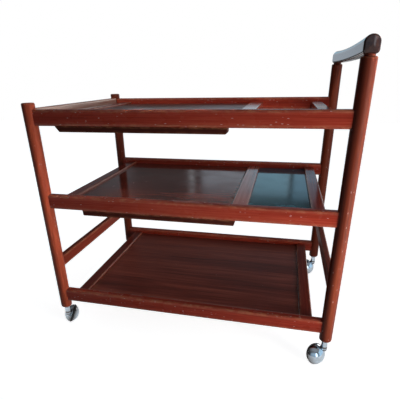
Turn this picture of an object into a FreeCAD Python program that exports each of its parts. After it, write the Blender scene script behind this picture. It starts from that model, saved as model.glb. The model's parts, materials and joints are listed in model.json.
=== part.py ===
import FreeCAD, Part
import math
import os

# Bar cart of dark wood on four ball casters, in millimetres.
# X runs along the cart towards the handle, -Y is the front and Z is up from the floor.

# Fits
GLUE_LINE = 0.05
RUNNING_FIT = 0.05
CUT_MARGIN = 2.0
PARALLEL = 1e-6

# Round posts: the two at the left are short, the two at the right carry the handle
POST_DIA = 30.0
POST_SPAN_X = 726.0
POST_SPAN_Y = 468.0
POST_FOOT_CLEARANCE = 14.0
SHORT_POST_RISE = 14.5
TALL_POST_RISE = 90.5
POST_TOP_ROUND = 4.0
POST_FOOT_ROUND = 4.5

# Handle bar: arched section, waisted between the posts, on a thin neck at each post
NECK_DIA = 21.0
NECK_HEIGHT = 4.0
HANDLE_TENON_DIA = 14.0
HANDLE_TENON_LENGTH = 17.0
HANDLE_OVERHANG = 15.0
HANDLE_END_WIDTH = 29.0
HANDLE_END_HEIGHT = 32.0
HANDLE_WAIST_WIDTH = 25.0
HANDLE_WAIST_HEIGHT = 25.5
HANDLE_SAG = 3.0
HANDLE_FOOT_ROUND = 6.0
HANDLE_END_ROUND = 5.0
HANDLE_ARCH_HEIGHT = 12.0

# Long rails, front and back on each tier, butted between the posts
BOTTOM_RAIL_RISE = 58.5
MID_RAIL_RISE = 283.0
TOP_RAIL_RISE = 207.0
RAIL_HEIGHT = 37.0
RAIL_THICK = 20.0
RAIL_INSET = 2.0
RAIL_EDGE_ROUND = 5.0
BAR_END_ROUND = 4.5
BAR_END_LAP = 3.5

# Narrow bars across the ends: a stretcher at each end and a rail at the top left
STRETCHER_RISE = 99.0
END_RAIL_RISE = 1.5
STRETCHER_HEIGHT = 32.0
STRETCHER_THICK = 17.0
STRETCHER_EDGE_ROUND = 4.0

# Dowels that join every bar to its posts
DOWEL_DIA = 8.0
DOWEL_LENGTH = 28.0
DOWEL_PITCH = 16.0
DOWEL_TIP_TO_AXIS = 6.0
DOWEL_END_ROOM = 1.0

# Cross rails and dividers, tenoned into the long rails
CROSS_SETBACK = 34.0
CROSS_WIDTH = 31.0
CROSS_DROP = 11.5
RIGHT_BAY_LENGTH = 146.0
DIVIDER_WIDTH = 39.0
DIVIDER_DROP = 13.5
CROSS_EDGE_ROUND = 3.0
TENON_LENGTH = 12.0
TENON_THICK = 9.0
TENON_SHOULDER = 5.0

# Boards that lie loose on the battens of the top and middle tiers
BOARD_DROP = 18.0
BOARD_GAP = 0.8
BOARD_DIVIDER_GAP = 2.5
BOARD_EDGE_ROUND = 1.2
NOTCH_RADIUS = 6.0
NOTCH_Y = -128.0

# Fixed panels, held in grooves of the long rails
LAMINATE_DROP = 19.0
LAMINATE_THICK = 12.0
PANEL_DROP = 18.0
PANEL_THICK = 12.0
PANEL_RIGHT_GAP = 0.6
PANEL_FIT = 0.2
GROOVE_DEPTH = 6.0

# Battens screwed under the long rails, which carry the loose boards
BATTEN_HEIGHT = 13.5
BATTEN_SETBACK = 4.0
BATTEN_LEDGE = 12.0
BATTEN_CORNER_ROUND = 5.0
TOP_BATTEN_START = -2.0
TOP_BATTEN_END = -6.0
TOP_BATTEN_BEVEL = 11.0
MID_BATTEN_START = 37.0
MID_BATTEN_END = 14.0
MID_BATTEN_BEVEL = 1.5

# Countersunk screws through the battens
SCREWS_PER_BATTEN = 4
SCREW_END_MARGIN = 40.0
SCREW_DIA = 4.0
SCREW_HEAD_DIA = 8.0
SCREW_HEAD_HEIGHT = 2.4
SCREW_LENGTH = 26.0
SCREW_HOLE_FIT = 0.2

# Casters: a lens-shaped ball of two domes, one fixed hood and one wheel on a tilted axle
CASTER_TURN = {"front_left": 114.0, "front_right": 218.0, "back_left": 38.0, "back_right": 226.0}
BALL_DIA = 54.0
DOME_HEIGHT = 20.5
AXLE_TILT = 24.0
CASTER_TRAIL = 19.0
CASTER_SIDE_OFFSET = 6.0
SPLIT_GAP = 1.5
HOOD_INSET = 0.3
HOOD_RIM_WIDTH = 6.0
HOOD_POCKET_DEPTH = 6.5
HUB_RADIUS = 8.0
THRUST_GAP = 0.3
HORN_RADIUS = 8.0
HORN_TOP_RADIUS = 7.0
HORN_FOOT_RISE = 16.0
TREAD_WIDTH = 5.5
TREAD_DEPTH = 5.0
HUB_LENGTH = 4.0
CAP_INSET = 0.5
CAP_WALL = 2.5
AXLE_DIA = 6.0
AXLE_HEAD_DIA = 11.0
AXLE_HEAD_HEIGHT = 2.0
AXLE_COVER = 4.25

# Caster stems and the sleeves that hold them in the posts
STEM_DIA = 8.0
STEM_ROOT = 17.0
STEM_REACH = 22.0
STEM_TIP_ROUND = 2.0
COLLAR_DIA = 15.0
COLLAR_HEIGHT = 2.0
SWIVEL_GAP = 0.4
SLEEVE_WALL = 2.0
SLEEVE_LENGTH = 25.0
FLANGE_DIA = 23.0
FLANGE_HEIGHT = 2.0
SLEEVE_END_ROOM = 1.0

# The front left caster stands out past its post, so the cart moves over to keep the origin under its middle
ORIGIN_SHIFT_X = 4.35

# Worked-out places
Vector = FreeCAD.Vector
ORIGIN = Vector(0, 0, 0)
X_AXIS = Vector(1, 0, 0)
Y_AXIS = Vector(0, 1, 0)
Z_AXIS = Vector(0, 0, 1)
POST_X = POST_SPAN_X / 2
POST_Y = POST_SPAN_Y / 2
POST_RADIUS = POST_DIA / 2
POST_FOOT_Z = BALL_DIA + POST_FOOT_CLEARANCE
BOTTOM_RAIL_Z = POST_FOOT_Z + BOTTOM_RAIL_RISE
MID_RAIL_Z = BOTTOM_RAIL_Z + MID_RAIL_RISE
TOP_RAIL_Z = MID_RAIL_Z + TOP_RAIL_RISE
STRETCHER_Z = BOTTOM_RAIL_Z + STRETCHER_RISE
END_RAIL_Z = TOP_RAIL_Z + END_RAIL_RISE
SHORT_POST_TOP_Z = TOP_RAIL_Z + SHORT_POST_RISE
TALL_POST_TOP_Z = TOP_RAIL_Z + TALL_POST_RISE
HANDLE_Z = TALL_POST_TOP_Z + NECK_HEIGHT
HANDLE_LENGTH = POST_SPAN_Y + 2 * HANDLE_OVERHANG
BAY_HALF_LENGTH = POST_X - CROSS_SETBACK - CROSS_WIDTH
DIVIDER_X = BAY_HALF_LENGTH - RIGHT_BAY_LENGTH - DIVIDER_WIDTH
RAIL_MID_Y = POST_Y - RAIL_INSET
RAIL_INNER_Y = RAIL_MID_Y - RAIL_THICK / 2
RAIL_OUTER_Y = RAIL_MID_Y + RAIL_THICK / 2
TIER_Z = {"top": TOP_RAIL_Z, "mid": MID_RAIL_Z, "bottom": BOTTOM_RAIL_Z}


def block(x0, x1, y0, y1, z0, z1):
    """Square-edged block between two corners."""
    return Part.makeBox(x1 - x0, y1 - y0, z1 - z0, Vector(x0, y0, z0))


def rod(radius, x, y, z0, z1):
    """Upright cylinder between two heights."""
    return Part.makeCylinder(radius, z1 - z0, Vector(x, y, z0))


def edges_along(shape, axis):
    """The straight edges of a shape that run along one axis."""
    return [edge for edge in shape.Edges if edge.tangentAt(edge.FirstParameter).cross(axis).Length < PARALLEL]


def softened(shape, radius, axis):
    """The shape with its straight edges along one axis rounded."""
    return shape.makeFillet(radius, edges_along(shape, axis))


def rounded_at(shape, radius, level):
    """The shape with the edges that lie at one height rounded."""
    def off_level(edge):
        return max(abs(edge.BoundBox.ZMin - level), abs(edge.BoundBox.ZMax - level))

    return shape.makeFillet(radius, [edge for edge in shape.Edges if off_level(edge) < PARALLEL])


def mirrored(shape):
    """The same piece on the other long side of the cart."""
    return shape.mirror(ORIGIN, Y_AXIS)


def save(name, solids):
    """Write one piece, or a group of like pieces, as one node."""
    group = Part.makeCompound(solids)
    group.translate(Vector(ORIGIN_SHIFT_X, 0, 0))
    group.exportStep(f"parts/{name}.step")
    print(name, len(solids), round(sum(solid.Volume for solid in solids)))


# Bars between posts

def to_side(shape, side, z):
    """Move a bar made along X, with the inside of the cart at +Y, to one side of the cart."""
    turn = {"front": 0, "right": 90, "back": 180, "left": 270}[side]
    place = {"front": (0, -POST_Y), "right": (POST_X, 0), "back": (0, POST_Y), "left": (-POST_X, 0)}[side]
    moved = shape.copy()
    moved.rotate(ORIGIN, Z_AXIS, turn)
    moved.translate(Vector(place[0], place[1], z))
    return moved


def post_bar(span, thick, height, inset, edge_round):
    """Bar along X, top at zero: rounded section, rounded ends, hollowed to sit against the posts."""
    half = span / 2 - POST_RADIUS + BAR_END_LAP
    blank = block(-half, half, inset - thick / 2, inset + thick / 2, -height, 0)
    bar = softened(blank, edge_round, X_AXIS).common(softened(blank, BAR_END_ROUND, Y_AXIS))
    for x in (-span / 2, span / 2):
        bar = bar.cut(rod(POST_RADIUS + GLUE_LINE, x, 0, -height - CUT_MARGIN, CUT_MARGIN))
    return bar


def bar_dowels(span, height, inset, radius, room):
    """Two dowels at each end of a bar, with extra length and radius when they are holes."""
    dowels = []
    for end in (-1, 1):
        tip_x = end * (span / 2 - DOWEL_TIP_TO_AXIS + room)
        for level in (-1, 1):
            tip = Vector(tip_x, inset, level * DOWEL_PITCH / 2 - height / 2)
            dowels.append(Part.makeCylinder(radius, DOWEL_LENGTH + 2 * room, tip, Vector(-end, 0, 0)))
    return dowels


class Bar:
    """A bar on one side of the cart, with its dowels and their holes in place."""

    def __init__(self, side, z, span, thick, height, inset, edge_round):
        holes = bar_dowels(span, height, inset, DOWEL_DIA / 2 + GLUE_LINE, DOWEL_END_ROOM)
        dowels = bar_dowels(span, height, inset, DOWEL_DIA / 2, 0)
        self.holes = [to_side(hole, side, z) for hole in holes]
        self.dowels = [to_side(dowel, side, z) for dowel in dowels]
        solid = to_side(post_bar(span, thick, height, inset, edge_round), side, z)
        self.solid = solid.cut(Part.makeCompound(self.holes))


def long_rail(side, z):
    return Bar(side, z, POST_SPAN_X, RAIL_THICK, RAIL_HEIGHT, RAIL_INSET, RAIL_EDGE_ROUND)


def end_bar(side, z):
    return Bar(side, z, POST_SPAN_Y, STRETCHER_THICK, STRETCHER_HEIGHT, 0, STRETCHER_EDGE_ROUND)


# Pieces across the tiers

def tenons(x, width, top, bottom, spare, room):
    """The two tenons of a cross piece, or with spare and room their mortises."""
    middle = (top + bottom) / 2
    half = TENON_THICK / 2 + spare
    front = block(x + TENON_SHOULDER - spare, x + width - TENON_SHOULDER + spare,
                  -RAIL_INNER_Y - TENON_LENGTH - room, -RAIL_INNER_Y, middle - half, middle + half)
    return [front, mirrored(front)]


def cross_piece(x, width, top, bottom):
    """Bar across a tier between the long rails, with a tenon at each end."""
    body = softened(block(x, x + width, -RAIL_INNER_Y, RAIL_INNER_Y, bottom, top), CROSS_EDGE_ROUND, Y_AXIS)
    return body.multiFuse(tenons(x, width, top, bottom, 0, 0)).removeSplitter()


def cross_places(tier):
    """Name, left edge, width and drop of each cross piece of a tier."""
    places = [("left_cross_rail", -BAY_HALF_LENGTH - CROSS_WIDTH, CROSS_WIDTH, CROSS_DROP),
              ("right_cross_rail", BAY_HALF_LENGTH, CROSS_WIDTH, CROSS_DROP)]
    if tier != "bottom":
        places.append(("divider", DIVIDER_X, DIVIDER_WIDTH, DIVIDER_DROP))
    return places


def panel_slab(x0, x1, top, thick, spare):
    """Panel that reaches into both long rails, or with spare the space its grooves need."""
    reach = RAIL_INNER_Y + GROOVE_DEPTH - PANEL_FIT + 2 * spare
    return block(x0, x1, -reach, reach, top - thick - spare, top + spare)


def loose_board(rail_top):
    """Board that drops in between the rails and rests on the battens, with a notch for a finger."""
    right = DIVIDER_X - BOARD_DIVIDER_GAP
    depth = RAIL_INNER_Y - BOARD_GAP
    top = rail_top - BOARD_DROP
    board = block(-BAY_HALF_LENGTH + BOARD_GAP, right, -depth, depth, rail_top - RAIL_HEIGHT, top)
    board = rounded_at(board, BOARD_EDGE_ROUND, top)
    return board.cut(rod(NOTCH_RADIUS, right, NOTCH_Y, rail_top - RAIL_HEIGHT - CUT_MARGIN, top + CUT_MARGIN))


# Battens and their screws

def screw_places(x, length):
    """Evenly spaced screw positions along a batten."""
    step = (length - 2 * SCREW_END_MARGIN) / (SCREWS_PER_BATTEN - 1)
    return [x + SCREW_END_MARGIN + count * step for count in range(SCREWS_PER_BATTEN)]


def screw(x, foot, spare):
    """Countersunk screw driven upwards at the front rail, or with spare its hole."""
    place = Vector(x, -RAIL_MID_Y, foot)
    head = Part.makeCone(SCREW_HEAD_DIA / 2 + spare, SCREW_DIA / 2 + spare, SCREW_HEAD_HEIGHT, place)
    shank = rod(SCREW_DIA / 2 + spare, x, -RAIL_MID_Y, foot, foot + SCREW_LENGTH + spare)
    return head.fuse(shank).removeSplitter()


def batten(x, length, bevel, rail_bottom):
    """Batten under the front rail: bevelled at the left, its lower right corner rounded."""
    foot = rail_bottom - BATTEN_HEIGHT
    front = -RAIL_OUTER_Y + BATTEN_SETBACK
    right = x + length
    corners = [(x, rail_bottom), (right, rail_bottom), (right, foot), (x + bevel, foot), (x, rail_bottom)]
    outline = Part.makePolygon([Vector(px, front, pz) for px, pz in corners])
    solid = Part.Face(outline).extrude(Vector(0, -RAIL_INNER_Y + BATTEN_LEDGE - front, 0))
    lower_right = max(edges_along(solid, Y_AXIS), key=lambda edge: edge.BoundBox.XMin - edge.BoundBox.ZMin)
    return solid.makeFillet(BATTEN_CORNER_ROUND, [lower_right])


# Posts and handle

def post(x, y, holes):
    """Turned post with rounded ends, bored for its caster sleeve and drilled for the dowels."""
    tall = x > 0
    top = TALL_POST_TOP_Z if tall else SHORT_POST_TOP_Z
    body = rod(POST_RADIUS, x, y, POST_FOOT_Z, top)
    body = rounded_at(rounded_at(body, POST_TOP_ROUND, top), POST_FOOT_ROUND, POST_FOOT_Z)
    if tall:
        neck = rod(NECK_DIA / 2, x, y, top - CUT_MARGIN, HANDLE_Z)
        tenon = rod(HANDLE_TENON_DIA / 2, x, y, top - CUT_MARGIN, HANDLE_Z + HANDLE_TENON_LENGTH)
        body = body.multiFuse([neck, tenon]).removeSplitter()
    bore = rod(STEM_DIA / 2 + RUNNING_FIT + SLEEVE_WALL + GLUE_LINE, x, y,
               POST_FOOT_Z - CUT_MARGIN, POST_FOOT_Z + SLEEVE_LENGTH + SLEEVE_END_ROOM)
    return body.cut(Part.makeCompound(holes + [bore]))


def handle_section(y, width, height, foot):
    """Closed outline across the handle: flat foot, round lower corners, straight sides, arched top."""
    half = width / 2
    low = foot + HANDLE_FOOT_ROUND
    shoulder = foot + height - HANDLE_ARCH_HEIGHT
    inner = half - HANDLE_FOOT_ROUND
    bend = HANDLE_FOOT_ROUND * math.cos(math.pi / 4)

    def at(x, z):
        return Vector(POST_X + x, y, z)

    edges = [Part.LineSegment(at(-inner, foot), at(inner, foot)),
             Part.Arc(at(inner, foot), at(inner + bend, low - bend), at(half, low)),
             Part.LineSegment(at(half, low), at(half, shoulder)),
             Part.Arc(at(half, shoulder), at(0, foot + height), at(-half, shoulder)),
             Part.LineSegment(at(-half, shoulder), at(-half, low)),
             Part.Arc(at(-half, low), at(-inner - bend, low - bend), at(-inner, foot))]
    return Part.Wire([edge.toShape() for edge in edges])


def handle_bar():
    """Waisted bar lofted between its two ends, seated on the necks and tenons of the tall posts."""
    end_y = HANDLE_LENGTH / 2
    sections = [handle_section(-end_y, HANDLE_END_WIDTH, HANDLE_END_HEIGHT, HANDLE_Z),
                handle_section(0, HANDLE_WAIST_WIDTH, HANDLE_WAIST_HEIGHT, HANDLE_Z - HANDLE_SAG),
                handle_section(end_y, HANDLE_END_WIDTH, HANDLE_END_HEIGHT, HANDLE_Z)]
    bar = Part.makeLoft(sections, True, False)
    faces = [face for face in bar.Faces if face.BoundBox.YLength < PARALLEL]
    bar = bar.makeFillet(HANDLE_END_ROUND, [edge for face in faces for edge in face.Edges])
    for y in (-POST_Y, POST_Y):
        seat = rod(NECK_DIA / 2 + GLUE_LINE, POST_X, y, TALL_POST_TOP_Z - CUT_MARGIN, HANDLE_Z)
        hole = rod(HANDLE_TENON_DIA / 2 + GLUE_LINE, POST_X, y, HANDLE_Z - CUT_MARGIN,
                   HANDLE_Z + HANDLE_TENON_LENGTH + DOWEL_END_ROOM)
        bar = bar.cut(Part.makeCompound([seat, hole]))
    return bar


# Casters, made about a swivel axis through the origin with the trail along +X
# Turned pieces are drawn as radius and distance along the axle, with the hood on the positive side

BALL_RADIUS = BALL_DIA / 2
HOOD_POCKET_RADIUS = BALL_RADIUS - HOOD_RIM_WIDTH
TREAD_SEAT_RADIUS = BALL_RADIUS - TREAD_DEPTH
AXLE_END = DOME_HEIGHT - AXLE_COVER
DOME_RADIUS = (BALL_RADIUS ** 2 + DOME_HEIGHT ** 2) / (2 * DOME_HEIGHT)
DOME_SHIFT = DOME_RADIUS - DOME_HEIGHT
TILT = math.radians(AXLE_TILT)
BALL_Z = DOME_RADIUS - DOME_SHIFT * math.sin(TILT)
HORN_FOOT_Z = BALL_Z + HORN_FOOT_RISE
FACE = SPLIT_GAP / 2
TREAD_END = FACE + TREAD_WIDTH
HUB_END = TREAD_END + HUB_LENGTH
SLEEVE_FOOT = POST_FOOT_Z - FLANGE_HEIGHT
COLLAR_TOP = SLEEVE_FOOT - SWIVEL_GAP
HORN_TOP = COLLAR_TOP - COLLAR_HEIGHT


def dome_point(radius, along):
    """Point of a dome of this sphere radius at a distance from the split."""
    return math.sqrt(radius ** 2 - (along + DOME_SHIFT) ** 2), along


def dome_arc(radius, along):
    """Arc of a dome from a distance along the axle to its pole."""
    pole = radius - DOME_SHIFT
    middle = dome_point(radius, (along + 2 * pole) / 3)
    ends = [dome_point(radius, along), middle, (0, pole)]
    return Part.Arc(*[Vector(r, 0, u) for r, u in ends]).toShape()


def polyline(points):
    """Straight edges through points given as radius and distance."""
    return Part.makePolygon([Vector(r, 0, u) for r, u in points]).Edges


def turned(edges):
    """Solid turned about the Z axis from the edges of its half outline."""
    wire = Part.Wire(Part.__sortEdges__(edges))
    return Part.Face(wire).revolve(ORIGIN, Z_AXIS, 360)


def on_axle(solid, hood_side):
    """Lay a turned piece on the tilted axle of the ball, towards the hood or the wheel."""
    moved = solid.copy()
    if not hood_side:
        moved.rotate(ORIGIN, X_AXIS, 180)
    moved.rotate(ORIGIN, X_AXIS, AXLE_TILT - 90)
    moved.translate(Vector(CASTER_TRAIL, -CASTER_SIDE_OFFSET, BALL_Z))
    return moved


def horn():
    """Upright column with a round foot, which holds the stem."""
    bend = HORN_RADIUS * math.cos(math.pi / 4)
    foot = [(0, HORN_FOOT_Z - HORN_RADIUS), (bend, HORN_FOOT_Z - bend), (HORN_RADIUS, HORN_FOOT_Z)]
    arc = Part.Arc(*[Vector(r, 0, u) for r, u in foot]).toShape()
    return turned(polyline([foot[-1], (HORN_TOP_RADIUS, HORN_TOP), (0, HORN_TOP), foot[0]]) + [arc])


def caster_hood():
    """Fixed dome with a hub for the axle, and the horn that grows out of it."""
    radius = DOME_RADIUS - HOOD_INSET
    pocket_end = FACE + HOOD_POCKET_DEPTH
    thrust = THRUST_GAP - FACE
    hub = [(0, radius - DOME_SHIFT), (0, thrust), (HUB_RADIUS, thrust), (HUB_RADIUS, pocket_end)]
    rim = [(HOOD_POCKET_RADIUS, pocket_end), (HOOD_POCKET_RADIUS, FACE), dome_point(radius, FACE)]
    dome = turned(polyline(hub + rim) + [dome_arc(radius, FACE)])
    hole = rod(AXLE_DIA / 2 + GLUE_LINE, 0, 0, thrust - CUT_MARGIN, AXLE_END + GLUE_LINE)
    stem_hole = rod(STEM_DIA / 2 + GLUE_LINE, 0, 0, HORN_TOP - STEM_ROOT - GLUE_LINE, HORN_TOP + CUT_MARGIN)
    solid = on_axle(dome, True).fuse(horn()).removeSplitter()
    return solid.cut(Part.makeCompound([on_axle(hole, True), stem_hole]))


def caster_axle():
    """Headed pin from inside the hub cap into the hood."""
    pin = rod(AXLE_DIA / 2, 0, 0, -HUB_END - THRUST_GAP, AXLE_END)
    head = rod(AXLE_HEAD_DIA / 2, 0, 0, -HUB_END - THRUST_GAP - AXLE_HEAD_HEIGHT, -HUB_END - THRUST_GAP)
    return on_axle(pin.fuse(head).removeSplitter(), True)


def caster_wheel():
    """Wheel disc with a hub that runs on the axle."""
    bore = AXLE_DIA / 2 + RUNNING_FIT
    disc = [(bore, FACE), (TREAD_SEAT_RADIUS, FACE), (TREAD_SEAT_RADIUS, TREAD_END)]
    hub = [(HUB_RADIUS, TREAD_END), (HUB_RADIUS, HUB_END), (bore, HUB_END), (bore, FACE)]
    return on_axle(turned(polyline(disc + hub)), False)


def caster_tread():
    """Rubber tread round the wheel disc, its outside part of the ball."""
    seat = TREAD_SEAT_RADIUS + GLUE_LINE
    first = dome_point(DOME_RADIUS, FACE)
    last = dome_point(DOME_RADIUS, TREAD_END)
    middle = dome_point(DOME_RADIUS, (FACE + TREAD_END) / 2)
    arc = Part.Arc(*[Vector(r, 0, u) for r, u in (first, middle, last)]).toShape()
    return on_axle(turned(polyline([last, (seat, TREAD_END), (seat, FACE), first]) + [arc]), False)


def caster_cap():
    """Domed cover over the wheel's hub."""
    outer = DOME_RADIUS - CAP_INSET
    inner = outer - CAP_WALL
    rim = polyline([dome_point(outer, TREAD_END), dome_point(inner, TREAD_END)])
    pole = polyline([(0, inner - DOME_SHIFT), (0, outer - DOME_SHIFT)])
    return on_axle(turned(rim + pole + [dome_arc(outer, TREAD_END), dome_arc(inner, TREAD_END)]), False)


def caster_stem():
    """Swivel pin with a collar that sits on the horn."""
    tip = POST_FOOT_Z + STEM_REACH
    pin = rounded_at(rod(STEM_DIA / 2, 0, 0, HORN_TOP - STEM_ROOT, tip), STEM_TIP_ROUND, tip)
    return pin.fuse(rod(COLLAR_DIA / 2, 0, 0, HORN_TOP, COLLAR_TOP)).removeSplitter()


def caster_sleeve():
    """Flanged sleeve pressed into the foot of a post."""
    inner = STEM_DIA / 2 + RUNNING_FIT
    flange = rod(FLANGE_DIA / 2, 0, 0, SLEEVE_FOOT, POST_FOOT_Z)
    tube = rod(inner + SLEEVE_WALL, 0, 0, SLEEVE_FOOT, POST_FOOT_Z + SLEEVE_LENGTH)
    hole = rod(inner, 0, 0, SLEEVE_FOOT - CUT_MARGIN, POST_FOOT_Z + SLEEVE_LENGTH + CUT_MARGIN)
    return flange.fuse(tube).cut(hole).removeSplitter()


def at_post(solid, corner):
    """Copy of a caster piece turned and moved to its post."""
    moved = solid.copy()
    moved.rotate(ORIGIN, Z_AXIS, CASTER_TURN[corner])
    moved.translate(Vector(*corner_place(corner), 0))
    return moved


def corner_place(corner):
    """Axis of the post at a named corner."""
    depth, side = corner.split("_")
    return (POST_X if side == "right" else -POST_X), (POST_Y if depth == "back" else -POST_Y)


# Build and save every piece

os.makedirs("parts", exist_ok=True)

rails = {f"{tier}_{side}_rail": long_rail(side, z)
         for tier, z in TIER_Z.items() for side in ("front", "back")}
end_bars = {"top_end_rail": end_bar("left", END_RAIL_Z),
            "left_stretcher": end_bar("left", STRETCHER_Z),
            "right_stretcher": end_bar("right", STRETCHER_Z)}
battens = {"top": (TOP_BATTEN_START, TOP_BATTEN_END, TOP_BATTEN_BEVEL),
           "mid": (MID_BATTEN_START, MID_BATTEN_END, MID_BATTEN_BEVEL)}
screws = []

for tier, rail_top in TIER_Z.items():
    rail_bottom = rail_top - RAIL_HEIGHT
    cuts = []
    for name, x, width, drop in cross_places(tier):
        save(f"{tier}_{name}", [cross_piece(x, width, rail_top - drop, rail_bottom)])
        cuts += tenons(x, width, rail_top - drop, rail_bottom, GLUE_LINE, DOWEL_END_ROOM)
    if tier == "bottom":
        panel_top = rail_top - PANEL_DROP
        right = BAY_HALF_LENGTH - PANEL_RIGHT_GAP
        cuts.append(panel_slab(-BAY_HALF_LENGTH, BAY_HALF_LENGTH, panel_top, PANEL_THICK, PANEL_FIT))
        save("bottom_panel", [panel_slab(-BAY_HALF_LENGTH + PANEL_FIT, right, panel_top, PANEL_THICK, 0)])
    if tier == "mid":
        left = DIVIDER_X + DIVIDER_WIDTH
        panel_top = rail_top - LAMINATE_DROP
        cuts.append(panel_slab(left, BAY_HALF_LENGTH, panel_top, LAMINATE_THICK, PANEL_FIT))
        save("mid_laminate_panel", [panel_slab(left + PANEL_FIT, BAY_HALF_LENGTH - PANEL_FIT, panel_top,
                                               LAMINATE_THICK, 0)])
    if tier in battens:
        start, end, bevel = battens[tier]
        x = start - BAY_HALF_LENGTH
        length = DIVIDER_X + end - x
        foot = rail_bottom - BATTEN_HEIGHT
        places = screw_places(x, length)
        holes = [screw(place, foot, SCREW_HOLE_FIT) for place in places]
        strip = batten(x, length, bevel, rail_bottom).cut(Part.makeCompound(holes))
        save(f"{tier}_front_batten", [strip])
        save(f"{tier}_back_batten", [mirrored(strip)])
        save(f"{tier}_board", [loose_board(rail_top)])
        cuts += holes + [mirrored(hole) for hole in holes]
        tier_screws = [screw(place, foot, 0) for place in places]
        screws += tier_screws + [mirrored(piece) for piece in tier_screws]
    for side in ("front", "back"):
        save(f"{tier}_{side}_rail", [rails[f"{tier}_{side}_rail"].solid.cut(Part.makeCompound(cuts))])

for name, bar in end_bars.items():
    save(name, [bar.solid])
save("batten_screws", screws)
save("rail_dowels", [dowel for bar in rails.values() for dowel in bar.dowels])
save("stretcher_dowels", [dowel for bar in end_bars.values() for dowel in bar.dowels])
save("handle_bar", [handle_bar()])

dowel_holes = [hole for bar in list(rails.values()) + list(end_bars.values()) for hole in bar.holes]
caster_pieces = {"stem": caster_stem(), "hood": caster_hood(), "axle": caster_axle(), "wheel": caster_wheel(),
                 "tread": caster_tread(), "cap": caster_cap()}
for corner in CASTER_TURN:
    save(f"{corner}_post", [post(*corner_place(corner), dowel_holes)])
    for name, solid in caster_pieces.items():
        save(f"{corner}_caster_{name}", [at_post(solid, corner)])
save("caster_sleeves", [at_post(caster_sleeve(), corner) for corner in CASTER_TURN])
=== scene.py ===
# %% [markdown]
# # A bar cart of dark wood on ball casters
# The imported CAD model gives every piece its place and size. This lesson dresses it: each wooden bar, board and
# caster gets a smooth skin with eased edges, and each finish is built from shader nodes. Lengths are metres, X
# runs towards the handle, Y away from the front and Z up.

# %% Load the frame
import json
import math

import bmesh
import bpy
import numpy as np
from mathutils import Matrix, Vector


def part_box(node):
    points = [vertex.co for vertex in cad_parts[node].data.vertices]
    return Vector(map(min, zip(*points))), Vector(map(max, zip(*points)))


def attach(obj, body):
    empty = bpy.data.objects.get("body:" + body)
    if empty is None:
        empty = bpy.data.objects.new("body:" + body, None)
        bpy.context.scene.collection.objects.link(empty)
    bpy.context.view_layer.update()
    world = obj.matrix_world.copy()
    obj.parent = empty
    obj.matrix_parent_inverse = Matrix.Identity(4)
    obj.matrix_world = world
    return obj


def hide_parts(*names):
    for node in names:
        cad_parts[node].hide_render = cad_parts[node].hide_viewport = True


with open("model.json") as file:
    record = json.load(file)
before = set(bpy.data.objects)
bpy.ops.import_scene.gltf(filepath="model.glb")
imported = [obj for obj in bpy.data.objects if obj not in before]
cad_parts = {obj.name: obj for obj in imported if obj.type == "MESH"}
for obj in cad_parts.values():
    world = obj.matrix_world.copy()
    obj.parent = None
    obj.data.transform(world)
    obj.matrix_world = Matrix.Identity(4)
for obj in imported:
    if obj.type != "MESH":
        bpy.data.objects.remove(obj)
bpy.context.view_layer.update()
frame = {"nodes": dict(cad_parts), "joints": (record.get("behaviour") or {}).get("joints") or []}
joints = {joint["name"]: joint for joint in frame["joints"]}

# %% [markdown]
# ## The camera
# A camera can be placed by eye, or worked out from edges that are known to be square. The second way was used
# here, so the values below are a real standpoint: about a metre in front of the cart's middle, a little above
# its top tier. The small shift keeps the picture's frame where the photograph has it.

# %% Camera
STANDPOINT = (0.22765, -0.9975, 0.6766)
TURN_DEGREES = (66.659, 1.073, 13.318)
SENSOR_MM, LENS_MM = 36.0, 31.94
SHIFT_RIGHT, SHIFT_UP = 0.0089, 0.0781
camera = bpy.data.objects.new("camera", bpy.data.cameras.new("camera"))
bpy.context.scene.collection.objects.link(camera)
camera.location = STANDPOINT
camera.rotation_euler = [math.radians(angle) for angle in TURN_DEGREES]
camera.data.sensor_width = SENSOR_MM
camera.data.lens = LENS_MM
camera.data.shift_x = SHIFT_RIGHT
camera.data.shift_y = SHIFT_UP
bpy.context.scene.camera = camera
print("camera with a lens of", LENS_MM, "mm")

# %% [markdown]
# ## Small helpers for shader nodes
# A finish is a graph of nodes. One helper puts a node in place and wires it, another opens a group, so that the
# cells below read as recipes: grain first, then rubbing and knocks, then gloss.

# %% Node helpers
def put(tree, kind, wires=None, **settings):
    """Adds a shader node. settings are its properties; wires maps an input's name or number to a value or to
    another node's output."""
    made = tree.nodes.new("ShaderNode" + kind)
    for key, value in settings.items():
        setattr(made, key, value)
    for key, value in (wires or {}).items():
        if isinstance(value, bpy.types.NodeSocket):
            tree.links.new(value, made.inputs[key])
        else:
            made.inputs[key].default_value = value
    return made


def math_of(tree, operation, first, second=0.0, third=0.0):
    """One sum or product of two values. MULTIPLY_ADD also takes a third."""
    return put(tree, "Math", {0: first, 1: second, 2: third}, operation=operation).outputs[0]


def ramp_of(tree, value, low, high, to_low=0.0, to_high=1.0):
    """The value carried smoothly from one range to another and held at its ends."""
    wires = {0: value, 1: low, 2: high, 3: to_low, 4: to_high}
    return put(tree, "MapRange", wires, interpolation_type="SMOOTHSTEP").outputs[0]


def stretched(tree, place, stretch):
    """A space that is stretched by its own amount along each axis."""
    return put(tree, "VectorMath", {0: place, 1: stretch}, operation="MULTIPLY").outputs[0]


def noise_of(tree, place, stretch, detail=2.0):
    """Noise in a stretched space."""
    wires = {"Vector": stretched(tree, place, stretch), "Scale": 1.0, "Detail": detail}
    return put(tree, "TexNoise", wires).outputs[0]


def mixed(tree, share, first, second):
    """Two colours mixed by a share."""
    return put(tree, "Mix", {0: share, 6: first, 7: second}, data_type="RGBA").outputs[2]


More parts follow.
